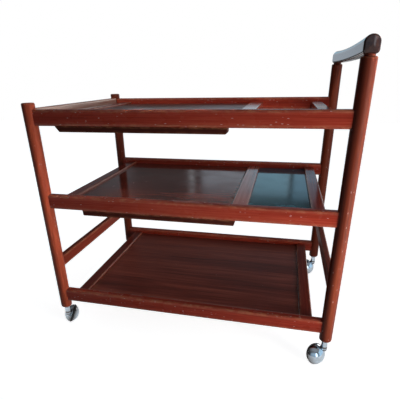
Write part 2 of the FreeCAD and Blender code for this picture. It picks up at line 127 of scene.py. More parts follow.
def open_group(name, inputs, outputs):
    """A new node group with named sockets; returns it with its input and output nodes."""
    group = bpy.data.node_groups.new(name, "ShaderNodeTree")
    for label, kind in inputs:
        group.interface.new_socket(label, in_out="INPUT", socket_type="NodeSocket" + kind)
    for label in outputs:
        group.interface.new_socket(label, in_out="OUTPUT", socket_type="NodeSocketFloat")
    return group, group.nodes.new("NodeGroupInput"), group.nodes.new("NodeGroupOutput")


def open_material(name):
    """A new material; returns it with its tree and its Principled shader."""
    material = bpy.data.materials.new(name)
    material.use_nodes = True
    return material, material.node_tree, material.node_tree.nodes["Principled BSDF"]


def tone(red, green, blue):
    """A colour written as it looks on screen, 0 to 255, turned into the linear values that shaders use."""
    screen = np.array([red, green, blue]) / 255
    linear = np.where(screen <= 0.04045, screen / 12.92, ((screen + 0.055) / 1.055) ** 2.4)
    return (*linear.tolist(), 1.0)


print("node helpers ready")

# %% [markdown]
# ## Grain
# Wood is a solid material: its figure comes from growth rings that the saw cuts through. The group below works
# in the space of the tree, with X along the trunk. Broad streaks, fine lines, rings about a far-off heart and
# short open pores are each one stretched noise or wave, so the same group serves every bar, whichever way it
# lies.

# %% Grain group
# How often each pattern changes in a metre, along the trunk and across it
BROAD_STREAKS = (1.3, 30.0, 30.0)
FINE_LINES = (7.0, 380.0, 380.0)
RING_SWAY = (1.6, 9.0, 9.0)
OPEN_PORES = (60.0, 2100.0, 2100.0)
SWAY_REACH = 0.03
RING_PHASE = 900.0
BROAD_SHARE, FINE_SHARE, RING_SHARE = 0.48, 0.42, 0.10
EVEN_CONTRAST, PORE_CUT = (0.25, 0.75), (0.58, 0.70)
grain_outputs = ["Tone", "Pore", "Height"]

grain_group, grain_in, grain_out = open_group("straight_grain", [("Trunk", "Vector")], grain_outputs)
trunk = grain_in.outputs["Trunk"]
broad = ramp_of(grain_group, noise_of(grain_group, trunk, BROAD_STREAKS, detail=3.0), *EVEN_CONTRAST)
fine = ramp_of(grain_group, noise_of(grain_group, trunk, FINE_LINES, detail=3.0), *EVEN_CONTRAST)
sway = math_of(grain_group, "MULTIPLY", noise_of(grain_group, trunk, RING_SWAY), SWAY_REACH)
from_heart = stretched(grain_group, trunk, (0.0, 1.0, 1.0))
heart_distance = put(grain_group, "VectorMath", {0: from_heart}, operation="LENGTH").outputs["Value"]
swayed = math_of(grain_group, "MULTIPLY", math_of(grain_group, "ADD", heart_distance, sway), RING_PHASE)
ring = math_of(grain_group, "MULTIPLY_ADD", math_of(grain_group, "SINE", swayed), 0.5, 0.5)
pore = ramp_of(grain_group, noise_of(grain_group, trunk, OPEN_PORES, detail=1.0), *PORE_CUT)
figure = math_of(grain_group, "MULTIPLY", broad, BROAD_SHARE)
for pattern, share in ((fine, FINE_SHARE), (ring, RING_SHARE)):
    figure = math_of(grain_group, "ADD", figure, math_of(grain_group, "MULTIPLY", pattern, share))
felt = math_of(grain_group, "SUBTRACT", fine, pore)
for socket, value in (("Tone", figure), ("Pore", pore), ("Height", felt)):
    grain_group.links.new(value, grain_out.inputs[socket])
print("grain group with", len(grain_group.nodes), "nodes")

# %% [markdown]
# ## Rubbing and knocks
# Lacquer wears first where hands and cloths pass: along the eased edges. Each skin below keeps an edge number at
# each point, 1 on an edge and 0 out on a flat: rubbing on wood, and on chrome a painted shade that darkens rims
# and bends. Knocks are small pale chips, long in the direction of the grain. A Voronoi pattern gives one cell to
# each possible chip, and only some cells, in some places, are kept.

# %% Wear group
RUB_PATCHES, PATCH_CUT, PATCH_STRENGTH = (55.0, 140.0, 140.0), (0.42, 0.66), (0.3, 1.0)
CHIP_CELLS, CHIP_RIM = (90.0, 500.0, 500.0), (0.40, 0.28)
CHIP_CROWDS, CROWD_CUT = (9.0, 30.0, 30.0), (0.42, 0.62)
CHIP_RAGGEDNESS, RAGGED_SHARE = (900.0, 1500.0, 1500.0), 0.25
WIPE_SMEARS = (14.0, 22.0, 22.0)
wear_inputs = [("Trunk", "Vector"), ("Rub", "Float"), ("Chips", "Float")]

wear_group, wear_in, wear_out = open_group("rubbed_lacquer", wear_inputs, ["Worn", "Chip", "Smear"])
spot = wear_in.outputs["Trunk"]
patches = noise_of(wear_group, spot, RUB_PATCHES, detail=3.0)
patch = ramp_of(wear_group, patches, *PATCH_CUT, *PATCH_STRENGTH)
worn = math_of(wear_group, "MULTIPLY", wear_in.outputs["Rub"], patch)
cells = put(wear_group, "TexVoronoi", {"Vector": stretched(wear_group, spot, CHIP_CELLS), "Scale": 1.0})
cell_draw = put(wear_group, "SeparateColor", {0: cells.outputs["Color"]}).outputs[0]
crowd = ramp_of(wear_group, noise_of(wear_group, spot, CHIP_CROWDS), *CROWD_CUT)
limit = math_of(wear_group, "MULTIPLY", crowd, wear_in.outputs["Chips"])
has_chip = math_of(wear_group, "LESS_THAN", cell_draw, limit)
rough_edge = noise_of(wear_group, spot, CHIP_RAGGEDNESS)
ragged = math_of(wear_group, "MULTIPLY_ADD", rough_edge, RAGGED_SHARE, cells.outputs["Distance"])
chip = math_of(wear_group, "MULTIPLY", has_chip, ramp_of(wear_group, ragged, *CHIP_RIM))
smear = noise_of(wear_group, spot, WIPE_SMEARS, detail=4.0)
for socket, value in (("Worn", worn), ("Chip", chip), ("Smear", smear)):
    wear_group.links.new(value, wear_out.inputs[socket])
print("wear group with", len(wear_group.nodes), "nodes")

# %% [markdown]
# ## Lacquered wood
# All the wood comes from one recipe: a colour ramp over the grain's tone, darker pores, paler rubbed edges and
# chips, and a roughness that smears a little as wiped lacquer does. The long rails are red-brown under satin
# lacquer. Other pieces differ: the dividers and the end rail are paler, the handle darker and the boards
# browner.
# The post wood comes in two copies: paler, as painted light, on the front left post, and darker, as painted
# shade, on the other three. The battens are darker as a painted shade under the rails.

# %% Wood recipe
PORE_SHARE = 0.45
RUBBED_TINT, RUBBED_SHARE = (0.42, 0.17, 0.085, 1.0), 0.42
CHIP_TINT, CHIP_SHARE, CHIP_ROUGHNESS = (0.62, 0.46, 0.43, 1.0), 0.8, 0.3
GRAIN_DEPTH = 0.0003
SMEAR_CUT, COAT_ROUGHNESS = (0.3, 0.7), 0.18
DARK_STOP, MIDDLE_STOP, LIGHT_STOP = 0.2, 0.5, 0.8


def lacquered(name, tones, chips, gloss, shine, relief, edge_coat=0.0):
    """Wood under lacquer. tones are its dark, middle and light colours, chips the share of knocked cells, gloss
    the range of its roughness, shine the strength of its reflections, relief how far the grain is felt and
    edge_coat the extra polish of rubbed edges."""
    material, tree, shader = open_material(name)
    trunk_at = put(tree, "Attribute", attribute_name="trunk").outputs["Vector"]
    rub_and_rim_shade = put(tree, "Attribute", attribute_name="rub_and_rim_shade").outputs["Fac"]
    grain = put(tree, "Group", {"Trunk": trunk_at}, node_tree=grain_group).outputs
    wear = put(tree, "Group", {"Trunk": trunk_at, "Rub": rub_and_rim_shade, "Chips": chips}, node_tree=wear_group).outputs
    ramp = put(tree, "ValToRGB", {0: grain["Tone"]})
    stops = ramp.color_ramp.elements
    stops[0].position, stops[0].color = DARK_STOP, tones[0]
    stops[1].position, stops[1].color = LIGHT_STOP, tones[2]
    stops.new(MIDDLE_STOP).color = tones[1]
    pored = mixed(tree, math_of(tree, "MULTIPLY", grain["Pore"], PORE_SHARE), ramp.outputs[0], tones[0])
    rubbed = mixed(tree, math_of(tree, "MULTIPLY", wear["Worn"], RUBBED_SHARE), pored, RUBBED_TINT)
    chipped = mixed(tree, math_of(tree, "MULTIPLY", wear["Chip"], CHIP_SHARE), rubbed, CHIP_TINT)
    tree.links.new(chipped, shader.inputs["Base Color"])
    smeared = ramp_of(tree, wear["Smear"], *SMEAR_CUT, *gloss)
    rough = math_of(tree, "ADD", smeared, math_of(tree, "MULTIPLY", wear["Chip"], CHIP_ROUGHNESS))
    tree.links.new(rough, shader.inputs["Roughness"])
    bump = put(tree, "Bump", {"Strength": relief, "Distance": GRAIN_DEPTH, "Height": grain["Height"]})
    tree.links.new(bump.outputs[0], shader.inputs["Normal"])
    shader.inputs["Specular IOR Level"].default_value = shine
    if edge_coat:
        tree.links.new(math_of(tree, "MULTIPLY", rub_and_rim_shade, edge_coat), shader.inputs["Coat Weight"])
        shader.inputs["Coat Roughness"].default_value = COAT_ROUGHNESS
    return material


frame_wood = lacquered(
    "frame_wood_lacquer", [tone(122, 38, 26), tone(144, 48, 33), tone(160, 64, 46)],
    chips=0.16, gloss=(0.20, 0.32), shine=0.12, relief=0.02, edge_coat=0.30)
cross_wood = lacquered(
    "cross_wood_lacquer", [tone(108, 42, 33), tone(122, 48, 38), tone(134, 57, 45)],
    chips=0.01, gloss=(0.14, 0.22), shine=0.22, relief=0.002, edge_coat=0.10)
stretcher_wood = lacquered(
    "stretcher_wood_satin", [tone(112, 43, 31), tone(126, 50, 36), tone(138, 59, 43)],
    chips=0.02, gloss=(0.42, 0.52), shine=0.06, relief=0.01, edge_coat=0.05)
divider_wood = lacquered(
    "divider_wood_lacquer", [tone(142, 76, 64), tone(156, 87, 75), tone(168, 98, 86)],
    chips=0.01, gloss=(0.12, 0.18), shine=1.0, relief=0.002, edge_coat=0.10)
# The end rail is given a paler colour than the other rails.
pale_end_rail_wood = lacquered(
    "pale_end_rail_lacquer", [tone(160, 108, 90), tone(188, 144, 126), tone(206, 170, 152)],
    chips=0.01, gloss=(0.14, 0.22), shine=0.6, relief=0.004, edge_coat=0.10)
# Painted light: a paler copy of the post wood for the front left post, which the light falls on.
painted_lit_post_wood = lacquered(
    "painted_lit_post_lacquer", [tone(136, 57, 38), tone(152, 66, 44), tone(166, 76, 51)],
    chips=0.10, gloss=(0.30, 0.40), shine=0.12, relief=0.004, edge_coat=0.10)
# Painted shade: a darker copy of the post wood for the three posts that stand in shade.
painted_shade_post_wood = lacquered(
    "painted_shade_post_lacquer", [tone(92, 37, 24), tone(109, 46, 30), tone(126, 58, 38)],
    chips=0.10, gloss=(0.30, 0.40), shine=0.12, relief=0.004, edge_coat=0.10)
# Painted shade: the battens are darker than the rails for the shadow that the rails above cast on them.
painted_shade_batten_wood = lacquered(
    "painted_shade_batten_lacquer", [tone(58, 24, 20), tone(68, 30, 25), tone(78, 37, 31)],
    chips=0.01, gloss=(0.40, 0.55), shine=0.03, relief=0.02, edge_coat=0.02)
handle_wood = lacquered(
    "handle_wood_polish", [tone(42, 23, 21), tone(54, 30, 27), tone(66, 39, 35)],
    chips=0.0, gloss=(0.07, 0.12), shine=0.5, relief=0.001)
mid_board_wood = lacquered(
    "board_wood_lacquer", [tone(80, 32, 25), tone(102, 44, 34), tone(122, 57, 45)],
    chips=0.004, gloss=(0.11, 0.18), shine=0.45, relief=0.003, edge_coat=0.05)
top_board_wood = lacquered(
    "top_board_wood_lacquer", [tone(64, 28, 24), tone(82, 38, 32), tone(100, 50, 42)],
    chips=0.004, gloss=(0.30, 0.38), shine=0.9, relief=0.003, edge_coat=0.05)
panel_wood = lacquered(
    "panel_wood_lacquer", [tone(94, 40, 30), tone(128, 58, 45), tone(160, 82, 64)],
    chips=0.004, gloss=(0.28, 0.40), shine=0.25, relief=0.02, edge_coat=0.05)
woods = [frame_wood, cross_wood, stretcher_wood, divider_wood, pale_end_rail_wood, painted_lit_post_wood, painted_shade_post_wood,
         painted_shade_batten_wood, handle_wood, mid_board_wood, top_board_wood, panel_wood]
print(len(woods), "woods:", [wood.name for wood in woods])

# %% [markdown]
# ## Laminate, chrome, rubber and plain metal
# The right bay of the middle tier has a black laminate with wipe marks. Its base colour is lifted from bluish
# black to dark teal and its shine tinted blue, partly its own colour and partly a painted reflection of blue
# sky. The caster domes are chromed steel, old enough to have hazy patches and pin pits; their colour darkens
# towards their rims and eased bends, a painted shade for the dark edges of their reflections. The tread is dusty
# rubber. Pieces that hardly show still get their own honest finish.

# %% Other finishes
CLOUD_CUT = (0.35, 0.7)
PIN_PITS, PIT_CUT = (1400.0, 1400.0, 1400.0), (0.68, 0.76)
FINE_GRIT = (900.0, 900.0, 900.0)
GRIT_STRENGTH, GRIT_DEPTH = 0.05, 0.0002
WHITE = (1.0, 1.0, 1.0, 1.0)


def marked(name, colour, other, gloss, cloud, metallic=0.0, pits=0.0, rim=None, tint=WHITE):
    """A plain material whose colour and gloss drift between two values with a cloud of the given scale. pits
    adds rough pin pits, tint colours its reflections, and a rim colour takes over where the piece's edge number
    is high, a painted shade on rims and eased bends."""
    material, tree, shader = open_material(name)
    spot = put(tree, "TexCoord").outputs["Object"]
    drift = ramp_of(tree, noise_of(tree, spot, (cloud, cloud, cloud), detail=4.0), *CLOUD_CUT)
    rough = ramp_of(tree, drift, 0.0, 1.0, *gloss)
    share = drift
    if pits:
        speck = ramp_of(tree, noise_of(tree, spot, PIN_PITS), *PIT_CUT, 0.0, pits)
        share = math_of(tree, "MAXIMUM", drift, speck)
        rough = math_of(tree, "ADD", rough, speck)
    clouded = mixed(tree, share, colour, other)
    # Painted shade: the rim colour darkens the piece where its edge number is high, on rims and eased bends.
    if rim:
        clouded = mixed(tree, put(tree, "Attribute", attribute_name="rub_and_rim_shade").outputs["Fac"], clouded, rim)
    tree.links.new(clouded, shader.inputs["Base Color"])
    tree.links.new(rough, shader.inputs["Roughness"])
    grit = noise_of(tree, spot, FINE_GRIT)
    bump = put(tree, "Bump", {"Strength": GRIT_STRENGTH, "Distance": GRIT_DEPTH, "Height": grit})
    tree.links.new(bump.outputs[0], shader.inputs["Normal"])
    shader.inputs["Metallic"].default_value = metallic
    shader.inputs["Specular Tint"].default_value = tint
    return material


# Partly painted reflection: the laminate's bluish black is lifted to dark teal, and its shine is tinted blue,
# for the blue sky it reflects.
laminate_with_painted_sky = marked(
    "laminate_sheet_with_painted_sky", (0.020, 0.076, 0.100, 1.0), (0.030, 0.092, 0.118, 1.0),
    gloss=(0.07, 0.13), cloud=16.0, tint=(0.55, 0.9, 1.0, 1.0))
# Painted shade: the dark rim colour stands in for the dark edges of the domes' reflections.
chrome = marked(
    "chromed_steel", (0.76, 0.87, 0.97, 1.0), (0.58, 0.66, 0.72, 1.0),
    gloss=(0.05, 0.12), cloud=70.0, metallic=1.0, pits=0.3, rim=(0.16, 0.14, 0.13, 1.0))
plated_steel = marked(
    "plated_steel_pin", (0.55, 0.55, 0.55, 1.0), (0.42, 0.41, 0.39, 1.0),
    gloss=(0.25, 0.45), cloud=90.0, metallic=1.0, pits=0.3)
tread_rubber = marked("dusty_rubber", tone(20, 19, 19), tone(58, 54, 51), gloss=(0.55, 0.8), cloud=60.0)
wheel_nylon = marked("moulded_nylon", tone(38, 37, 36), tone(52, 50, 48), gloss=(0.4, 0.55), cloud=80.0)
raw_dowel = marked("raw_dowel", tone(176, 140, 98), tone(150, 112, 74), gloss=(0.6, 0.8), cloud=120.0)
others = [laminate_with_painted_sky, chrome, plated_steel, tread_rubber, wheel_nylon, raw_dowel]
print(len(others), "other finishes:", [finish.name for finish in others])

# %% [markdown]
# ## From a grid of points to a piece
# Every new skin is a grid: rows run along the piece, columns run round it, and the first and last rows shrink
# to one point. Four numbers are kept at each point, its place and its edge number: rubbing on wood, painted rim
# shade on chrome. The weighted normals keep wide faces flat beside eased edges.

# %% Piece maker
SHARP_DEGREES = 48
# Where the numbering of each kind of piece in the tree begins
BAR_TREE, CROSS_TREE, BATTEN_TREE, BOARD_TREE, POST_TREE, HANDLE_TREE = 0, 20, 40, 50, 60, 70


def in_tree(number):
    """Where in the tree a piece was sawn: a different place for each, well away from the heart."""
    return (0.9 * number, 0.11 + 0.037 * (number % 5), 0.06 + 0.029 * (number % 7))


def shell(grid):
    """Points, four-sided faces and end triangles of one closed grid whose first and last rows are single
    points."""
    rows, around = grid.shape[:2]
    inner = np.arange(1, 1 + (rows - 2) * around).reshape(rows - 2, around)
    beside = np.roll(inner, -1, axis=1)
    quads = np.stack([inner[:-1], beside[:-1], beside[1:], inner[1:]], axis=-1).reshape(-1, 4)
    foot = np.stack([np.zeros_like(inner[0]), beside[0], inner[0]], axis=-1)
    head = np.stack([np.full_like(inner[-1], inner.max() + 1), inner[-1], beside[-1]], axis=-1)
    points = np.concatenate([grid[:1, 0], grid[1:-1].reshape(-1, 4), grid[-1:, 0]])
    return points, quads, np.concatenate([foot, head])


def mesh_of(name, grids, trunk):
    """One mesh from closed grids, with the edge number of each point, rubbing on wood and painted rim shade on
    chrome, and, where a trunk is given, its place in the tree."""
    points, faces = [], []
    for grid in grids:
        new_points, quads, triangles = shell(grid)
        shift = sum(len(group) for group in points)
        faces += (quads + shift).tolist() + (triangles + shift).tolist()
        points.append(new_points)
    points = np.concatenate(points)
    mesh = bpy.data.meshes.new(name)
    mesh.from_pydata(points[:, :3].tolist(), [], faces)
    mesh.attributes.new("rub_and_rim_shade", "FLOAT", "POINT").data.foreach_set("value", points[:, 3].astype(np.float32))
    if trunk:
        axis, offset = trunk
        turned_to_grain = np.roll(points[:, :3], -axis, axis=1) + np.array(offset)
        layer = mesh.attributes.new("trunk", "FLOAT_VECTOR", "POINT")
        layer.data.foreach_set("vector", turned_to_grain.astype(np.float32).ravel())
    return mesh


def face_outward(mesh):
    """Turns all faces of a mesh outward and makes it smooth, but for its sharp edges."""
    work = bmesh.new()
    work.from_mesh(mesh)
    bmesh.ops.recalc_face_normals(work, faces=work.faces)
    work.to_mesh(mesh)
    work.free()
    mesh.polygons.foreach_set("use_smooth", np.ones(len(mesh.polygons), bool))
    mesh.set_sharp_from_angle(angle=math.radians(SHARP_DEGREES))


def piece(name, grids, nodes, body, material, trunk=None):
    """A piece made of closed grids, in place of CAD nodes. trunk is the axis that the grain follows and where
    in the tree the piece lay."""
    mesh = mesh_of(name, grids, trunk)
    face_outward(mesh)
    mesh.materials.append(material)
    made = bpy.data.objects.new(name, mesh)
    bpy.context.scene.collection.objects.link(made)
    made.modifiers.new("flat_faces", "WEIGHTED_NORMAL").keep_sharp = True
    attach(made, body)
    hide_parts(*nodes)


def box_of(node):
    """Lowest corner, highest corner and middle of a CAD node."""
    low, high = (np.array(corner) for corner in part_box(node))
    return low, high, (low + high) / 2


print("piece maker ready")

# %% [markdown]
# ## Sections carried along bars
# Rails, cross rails, battens, boards and panels are all one idea: an outline with eased corners, carried along
# a line. What differs is how each end is cut, so the ends are given as functions of the place in the section.

# %% Outline and carrying
RUB_FADE = 0.0015
EVEN_ROWS = np.linspace(0, 1, 24)
END_RINGS = 6


def eased_outline(width, height, radius):
    """Rectangle with round corners as a loop about its middle: quarter circles joined by flats whose points
    crowd towards the corners by a cosine. The third column is rub: 1 on the corners, fading out along the
    flats."""
    middles = np.array([[1, 1], [-1, 1], [-1, -1], [1, -1]]) * (np.array([width, height]) / 2 - radius)
    quarter = np.linspace(0, np.pi / 2, 7)
    step = (1 - np.cos(np.linspace(0, np.pi, 11)[1:-1])) / 2
    loop = []
    for turn in range(4):
        angle = quarter + turn * np.pi / 2
        arc = middles[turn] + radius * np.column_stack([np.cos(angle), np.sin(angle)])
        run = middles[(turn + 1) % 4] - middles[turn]
        from_corner = np.minimum(step, 1 - step) * np.abs(run).sum()
        loop.append(np.column_stack([arc, np.ones(len(arc))]))
        loop.append(np.column_stack([arc[-1] + step[:, None] * run, np.exp(-from_corner / RUB_FADE)]))
    return np.concatenate(loop)


def carried(loop, start, stop, share=EVEN_ROWS):
    """An outline carried along a bar, as a grid of (along, across, up, rub). start and stop say where the bar
    begins and ends at any point of its section. Each end closes by the outline shrinking to its middle on that
    surface, by a sine so that the rings crowd towards the edge."""
    shrink = np.sin(np.linspace(0, np.pi / 2, END_RINGS))[:, None, None]
    end = loop * shrink
    side = np.repeat(loop[None], len(share) - 2, axis=0)
    part = share[1:-1, None]
    along = start(loop) * (1 - part) + stop(loop) * part
    along = np.concatenate([start(end), along, stop(end[::-1])])
    return np.dstack([along, np.concatenate([end, side, end[::-1]])])


def square_at(place):
    """An end that is cut square, at one place along the bar."""
    return lambda point: np.full(point.shape[:-1], place)


def laid(grid, axis, middle):
    """A carried grid turned to lie along X or Y and moved to its middle."""
    order = [0, 1, 2, 3] if axis == 0 else [1, 0, 2, 3]
    return grid[..., order] + np.append(middle, 0.0)


print("outlines are carried in", len(EVEN_ROWS), "rows")

# %% [markdown]
# ## Bars between the posts
# Each long rail, stretcher and end rail butts against round posts. Its end is hollowed to the post and its
# corners are eased, so the end surface is the nearer of two: a cylinder about the post's axis and a quarter
# circle over the top and bottom edges.

# %% Rails and stretchers
POST_RADIUS = 0.015
RAIL_EDGE, STRETCHER_EDGE, BAR_END_EASE = 0.005, 0.004, 0.0045
TIERS = ["top", "mid", "bottom"]
SIDES = ["front", "back"]


def post_bar(node, post_node, axis, edge):
    """Bar whose ends are hollowed by the posts: along = distance to the post's axis less the post's half
    chord."""
    low, high, middle = box_of(node)
    post = box_of(post_node)[2]
    across = 1 - axis
    height = high[2] - low[2]
    loop = eased_outline(high[across] - low[across], height, edge)
    to_axis = abs(post[axis] - middle[axis])
    off_axis = post[across] - middle[across]

    def stop(point):
        hollow = to_axis - np.sqrt(np.maximum(POST_RADIUS ** 2 - (point[..., 0] - off_axis) ** 2, 0))
        fall = BAR_END_EASE - np.clip(height / 2 - np.abs(point[..., 1]), 0, BAR_END_EASE)
        eased = (high[axis] - middle[axis]) - BAR_END_EASE + np.sqrt(BAR_END_EASE ** 2 - fall ** 2)
        return np.minimum(hollow, eased)

    return laid(carried(loop, lambda point: -stop(point), stop), axis, middle)


bars = [(f"{tier}_{side}_rail", f"{side}_left_post", 0, RAIL_EDGE, frame_wood)
        for tier in TIERS for side in SIDES]
bars += [("top_end_rail", "front_left_post", 1, STRETCHER_EDGE, pale_end_rail_wood),
         ("left_stretcher", "front_left_post", 1, STRETCHER_EDGE, stretcher_wood),
         ("right_stretcher", "front_right_post", 1, STRETCHER_EDGE, stretcher_wood)]
for number, (node, post_node, axis, edge, finish) in enumerate(bars):
    piece(f"{node}_skin", [post_bar(node, post_node, axis, edge)], [node], "cart_frame", finish,
          (axis, in_tree(BAR_TREE + number)))
print(len(bars), "bars between posts")

# %% [markdown]
# ## Cross rails and dividers
# These lie between the long rails. Their tenons are out of sight, so the skins stop at the rails' inner faces.

# %% Cross pieces
CROSS_EDGE = 0.003
inner_face = box_of("top_front_rail")[1][1]
crosses = [f"{tier}_{end}_cross_rail" for tier in TIERS for end in ("left", "right")]
crosses += ["top_divider", "mid_divider"]
for number, node in enumerate(crosses):
    low, high, middle = box_of(node)
    loop = eased_outline(high[0] - low[0], high[2] - low[2], CROSS_EDGE)
    grid = carried(loop, square_at(inner_face), square_at(-inner_face))
    piece(f"{node}_skin", [laid(grid, 1, middle)], [node], "cart_frame",
          divider_wood if "divider" in node else cross_wood, (1, in_tree(CROSS_TREE + number)))
print(len(crosses), "cross pieces from", round(inner_face, 4), "to", round(-inner_face, 4))

# %% [markdown]
# ## Battens
# A batten under each long rail of the two upper tiers carries the loose board. Its left end is cut along a
# bevel, long on the top tier and slight on the middle one, and its lower right corner is rounded.

# %% Battens
BATTEN_EDGE, BATTEN_ROUND = 0.0012, 0.005
BEVELS = {"top": 0.011, "mid": 0.0015}


def batten(node, bevel):
    """Bar whose left end runs in by the bevel from top to bottom, and whose right end falls away by a quarter
    circle at its foot."""
    low, high, middle = box_of(node)
    half = (high - low) / 2

    def bevelled(point):
        return -half[0] + bevel * (half[2] - point[..., 1]) / (2 * half[2])

    def rounded(point):
        fall = np.clip(BATTEN_ROUND - (point[..., 1] + half[2]), 0, BATTEN_ROUND)
        return half[0] - BATTEN_ROUND + np.sqrt(BATTEN_ROUND ** 2 - fall ** 2)

    return laid(carried(eased_outline(2 * half[1], 2 * half[2], BATTEN_EDGE), bevelled, rounded), 0, middle)


battens = [(f"{tier}_{side}_batten", bevel) for tier, bevel in BEVELS.items() for side in SIDES]
# The battens take the painted shade wood.
for number, (node, bevel) in enumerate(battens):
    piece(f"{node}_skin", [batten(node, bevel)], [node], "cart_frame", painted_shade_batten_wood,
          (0, in_tree(BATTEN_TREE + number)))
print(len(battens), "battens")

# %% [markdown]
# ## Boards and panels
# The loose boards have a small half-round notch for a finger beside the divider. It is made by pulling the
# right edge in along a circle: at a distance d from the notch's middle the edge moves by the root of r squared
# less d squared.

# %% Boards and panels
BOARD_EDGE, PANEL_EDGE = 0.0012, 0.0006
NOTCH_RADIUS, NOTCH_Y = 0.006, -0.128
PULL_DEPTH, PULL_BLEND = 0.02, 0.012


def slab(node, edge, share=EVEN_ROWS):
    """Flat board carried from front to back."""
    low, high, middle = box_of(node)
    loop = eased_outline(high[0] - low[0], high[2] - low[2], edge)
    reach = (high[1] - low[1]) / 2
    return laid(carried(loop, square_at(-reach), square_at(reach), share), 1, middle)


def notched(node):
    """Board whose right edge is pulled in along a half circle. The pull fades out from the edge inward."""
    low, high, middle = box_of(node)
    round_it = NOTCH_Y + NOTCH_RADIUS * np.sin(np.linspace(-np.pi / 2, np.pi / 2, 17))
    share = np.union1d(EVEN_ROWS, (round_it - low[1]) / (high[1] - low[1]))
    grid = slab(node, BOARD_EDGE, share)
    depth = np.sqrt(np.maximum(NOTCH_RADIUS ** 2 - (grid[..., 1] - NOTCH_Y) ** 2, 0))
    pull = np.clip((grid[..., 0] - high[0] + PULL_DEPTH) / PULL_BLEND, 0, 1)
    grid[..., 0] -= depth * pull
    return grid


boards = {"top_board": top_board_wood, "mid_board": mid_board_wood}
for number, (node, finish) in enumerate(boards.items()):
    piece(f"{node}_skin", [notched(node)], [node], node, finish,
          (0, in_tree(BOARD_TREE + number)))
piece("bottom_panel_skin", [slab("bottom_panel", PANEL_EDGE)], ["bottom_panel"], "cart_frame",
      panel_wood, (0, in_tree(BOARD_TREE + 3)))
piece("laminate_skin", [slab("mid_laminate_panel", PANEL_EDGE)], ["mid_laminate_panel"], "cart_frame",
      laminate_with_painted_sky)
print(len(boards), "notched boards, 1 panel, 1 laminate")

# %% [markdown]
# ## Turned posts
# A post comes off a lathe, so its skin is a profile of radius against height, spun about an upright axis.
# Corners of the profile are eased by a short curve from just before each corner to just after it. The two tall
# posts end in a thin neck below the handle.

# %% Spinning a profile
CORNERS = ["front_left", "front_right", "back_left", "back_right"]
FOOT_EASE, TOP_EASE = 0.0045, 0.004
NECK_RADIUS, NECK_HEIGHT, NECK_LAP = 0.0105, 0.004, 0.001
NECK_FOOT_EASE, NECK_TOP_EASE = 0.0006, 0.0003
HANDLE_SAG = 0.003


def eased_profile(corners):
    """Corners of (radius, height, ease) joined by straight runs and a quadratic curve round each eased corner:
    (1-t)^2 before + 2t(1-t) corner + t^2 after. The edge number, rubbing on wood and painted shade on chrome,
    rises to 1 halfway round each curve."""
    corners = np.array(corners, float)
    points = corners[:, :2]
    t = np.linspace(0, 1, 7)[:, None]
    rows = [np.append(points[0], 0.0)[None]]
    for before, at, after, ease in zip(points[:-2], points[1:-1], points[2:], corners[1:-1, 2]):
        into = at + (before - at) * ease / np.linalg.norm(before - at)
        out = at + (after - at) * ease / np.linalg.norm(after - at)
        curve = (1 - t) ** 2 * into + 2 * t * (1 - t) * at + t ** 2 * out
        rows.append(np.column_stack([curve, 4 * t * (1 - t)]))
    rows.append(np.append(points[-1], 0.0)[None])
    return np.concatenate(rows)


def spun(profile, around=72):
    """A profile of (radius, height, edge number) spun about the Z axis. The edge number is rubbing on wood and
    painted rim shade on chrome.
    """
    angle = np.arange(around) * 2 * np.pi / around
    radius, height, rub_and_rim_shade = (np.repeat(profile[:, column:column + 1], around, axis=1) for column in range(3))
    return np.dstack([radius * np.cos(angle), radius * np.sin(angle), height, rub_and_rim_shade])


def moved(grid, place):
    """A grid moved to a place."""
    return grid + np.append(place, 0.0)


def post_profile(foot, top):
    """Corners of a post from its foot to the middle of its top."""
    return [(0, foot, 0), (POST_RADIUS, foot, FOOT_EASE), (POST_RADIUS, top, TOP_EASE), (0, top, 0)]


def necked_profile(foot, top):
    """Corners of a post that narrows to a neck, which reaches a little way into the handle."""
    neck_top = top + NECK_HEIGHT + NECK_LAP
    neck = [(NECK_RADIUS, top, NECK_FOOT_EASE), (NECK_RADIUS, neck_top, NECK_TOP_EASE), (0, neck_top, 0)]
    return post_profile(foot, top)[:-1] + neck


neck_foot = box_of("handle_bar")[0][2] + HANDLE_SAG - NECK_HEIGHT
for number, corner in enumerate(CORNERS):
    node = f"{corner}_post"
    low, high, middle = box_of(node)
    profile = necked_profile(low[2], neck_foot) if "right" in corner else post_profile(low[2], high[2])
    grid = moved(spun(eased_profile(profile)), (middle[0], middle[1], 0))
    # The front left post takes the painted light copy of the post wood, the others the painted shade copy.
    piece(f"{node}_skin", [grid], [node], "cart_frame",
          painted_lit_post_wood if corner == "front_left" else painted_shade_post_wood, (2, in_tree(POST_TREE + number)))
print(len(CORNERS), "posts, the necks from", round(neck_foot, 4))

# %% [markdown]
# ## The handle bar
# The handle is shaped by hand: an arched top, straight sides and a flat foot, slimmer at the middle than over
# the posts. Its width, height and foot follow the square of the distance from the middle, so it flares near the
# posts. Its end edges are rounded by a quarter circle, and the ends themselves bulge a little.

# %% Handle
END_WIDTH, WAIST_WIDTH = 0.029, 0.025
END_HEIGHT, WAIST_HEIGHT = 0.032, 0.0295
ARCH_HEIGHT, FOOT_ROUND = 0.012, 0.006
END_ROUND, END_BULGE = 0.005, 0.002
MAIN_ROWS = 40
# How much the arch and the rounds at the foot lose while a section is drawn in
ROUND_SHRINK = 0.6
HANDLE_RUB = 0.12


